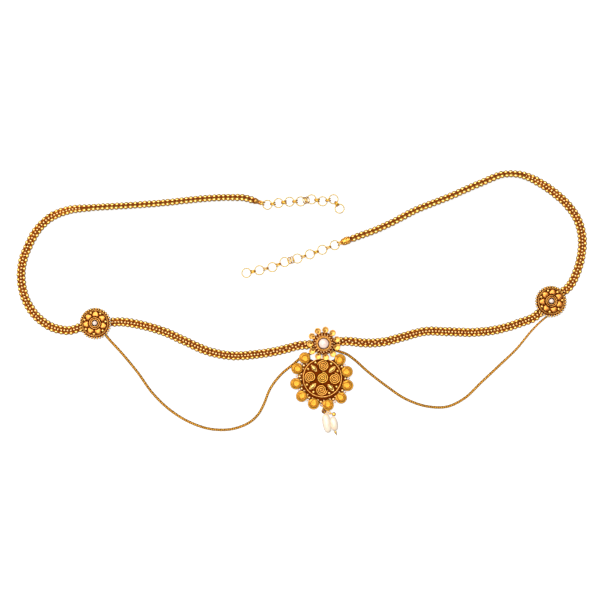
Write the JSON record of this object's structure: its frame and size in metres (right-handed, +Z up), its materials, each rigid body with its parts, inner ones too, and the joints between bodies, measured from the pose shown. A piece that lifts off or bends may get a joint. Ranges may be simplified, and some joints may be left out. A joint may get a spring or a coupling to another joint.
{
  "type": "jewelled waist belt",
  "caption": "Jewelled waist belt laid open: a woven bead band with round medallions, a flower, a lobed pendant, pearl drops, swag chains and ring extension chains.",
  "frame": {"origin": "middle of the belt's footprint, on the surface that it lies on", "axes": "+X along the belt's front from the left medallion to the right one as the picture shows it, +Y towards the extension chains, +Z up from the surface"},
  "size_m": [0.3709, 0.1727, 0.0066],
  "materials": {
    "woven_gold": "plated gold beads woven on brown thread, satin",
    "antique_gold": "cast and antiqued gold with dark recesses",
    "bright_gold": "polished yellow gold plate",
    "button_pearl": "pinkish cream nacre",
    "rice_pearl": "white cream nacre with a peach cast"
  },
  "bodies": {
    "root": {"band_outer_left": "woven_gold", "band_outer_right": "woven_gold", "band_inner_left": "woven_gold", "band_inner_right": "woven_gold", "swag_left": "woven_gold", "swag_right": "woven_gold", "medallion_left": "antique_gold", "medallion_right": "antique_gold", "flower": "antique_gold", "pendant_link": "antique_gold", "pendant": "antique_gold", "medallion_pearl_left": "button_pearl", "medallion_pearl_right": "button_pearl", "flower_pearl": "button_pearl", "drop_pearl_large": "rice_pearl", "drop_pearl_small": "rice_pearl", "drop_ring": "bright_gold", "drop_link": "bright_gold", "drop_eye_large": "bright_gold", "drop_bead": "bright_gold", "drop_tip": "bright_gold", "cap_left": "bright_gold", "cap_right": "bright_gold", "left_ring_1": "bright_gold", "left_pair_1": "bright_gold", "left_ring_2": "bright_gold", "left_pair_2": "bright_gold", "left_ring_3": "bright_gold", "left_pair_3": "bright_gold", "left_ring_4": "bright_gold", "left_pair_4": "bright_gold", "left_ring_5": "bright_gold", "left_pair_5": "bright_gold", "left_ring_6": "bright_gold", "left_pair_6": "bright_gold", "left_ring_7": "bright_gold", "left_pair_7": "bright_gold", "left_ring_8": "bright_gold", "left_pair_8": "bright_gold", "right_ring_1": "bright_gold", "right_pair_1": "bright_gold", "right_ring_2": "bright_gold", "right_pair_2": "bright_gold", "right_ring_3": "bright_gold", "right_pair_3": "bright_gold", "right_ring_4": "bright_gold", "right_pair_4": "bright_gold", "right_ring_5": "bright_gold", "right_pair_5": "bright_gold", "right_ring_6": "bright_gold", "right_pair_6": "bright_gold", "right_ring_7": "bright_gold", "right_pair_7": "bright_gold", "right_ring_8": "bright_gold", "right_pair_8": "bright_gold"}
  },
  "joints": []
}
